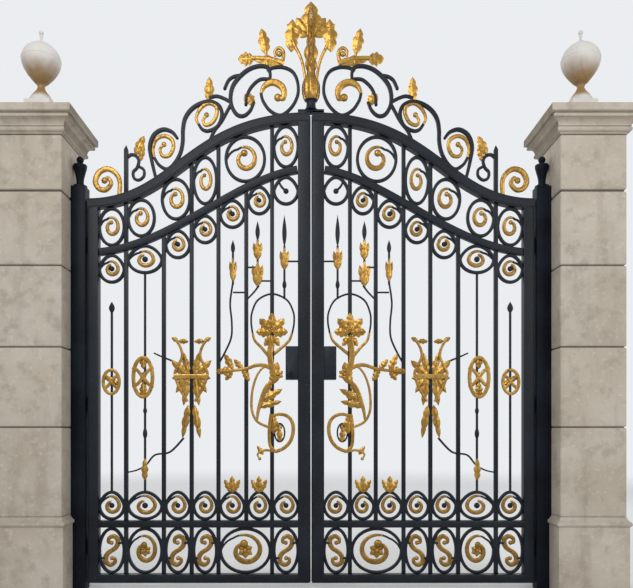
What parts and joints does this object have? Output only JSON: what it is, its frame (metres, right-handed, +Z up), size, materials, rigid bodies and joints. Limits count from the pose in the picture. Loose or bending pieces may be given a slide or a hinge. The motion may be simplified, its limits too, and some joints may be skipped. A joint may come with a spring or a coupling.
{
  "type": "double-leaf wrought iron driveway gate with stone piers",
  "caption": "Double-leaf ogee-headed wrought iron driveway gate with gilded scrolls, hung on iron posts between stone piers with urns.",
  "frame": {"origin": "middle of the left pier's foot, on the ground", "axes": "+X along the gate to the right pier, +Y away from the street, the way the leaves open, +Z up"},
  "size_m": [4.74, 0.66, 4.437],
  "materials": {
    "limestone": "smooth-sawn pale limestone, lightly weathered",
    "urn_stone": "turned limestone, weathered warm below",
    "black_iron": "satin blue-black paint on forged iron",
    "gilding": "old gold paint with brown shading"
  },
  "bodies": {
    "piers": {"left_pier_plinth": "limestone", "left_pier_shaft": "limestone", "left_pier_cap": "limestone", "left_pier_urn": "urn_stone", "left_iron_post": "black_iron", "right_pier_plinth": "limestone", "right_pier_shaft": "limestone", "right_pier_cap": "limestone", "right_pier_urn": "urn_stone", "right_iron_post": "black_iron"},
    "left_leaf": {"left_hanging_stile": "black_iron", "left_meeting_stile": "black_iron", "left_top_rail": "black_iron", "left_arch_rail": "black_iron", "left_mid_rail": "black_iron", "left_bottom_rail": "black_iron", "left_leaf_hinges": "black_iron", "left_bars": "black_iron", "left_slim_bars": "black_iron", "left_head_rings": "black_iron", "left_ring_rows": "black_iron", "left_base_rings": "black_iron", "left_gilt_curls": "gilding", "left_cresting": "black_iron", "left_cresting_leaves": "gilding", "left_foliage": "gilding", "left_lock_box": "black_iron", "centre_finial": "gilding"},
    "right_leaf": {"right_hanging_stile": "black_iron", "right_meeting_stile": "black_iron", "right_top_rail": "black_iron", "right_arch_rail": "black_iron", "right_mid_rail": "black_iron", "right_bottom_rail": "black_iron", "right_leaf_hinges": "black_iron", "right_bars": "black_iron", "right_slim_bars": "black_iron", "right_head_rings": "black_iron", "right_ring_rows": "black_iron", "right_base_rings": "black_iron", "right_gilt_curls": "gilding", "right_cresting": "black_iron", "right_cresting_leaves": "gilding", "right_foliage": "gilding", "right_lock_box": "black_iron"}
  },
  "joints": [
    {"name": "left_leaf_hinge", "type": "hinge", "parent": "piers", "child": "left_leaf", "pos_m": [0.354, 0.078, 1.39], "axis": [0, 0, 1], "range_deg": [0, 90]},
    {"name": "right_leaf_hinge", "type": "hinge", "parent": "piers", "child": "right_leaf", "pos_m": [3.726, 0.078, 1.39], "axis": [0, 0, -1], "range_deg": [0, 90]}
  ]
}
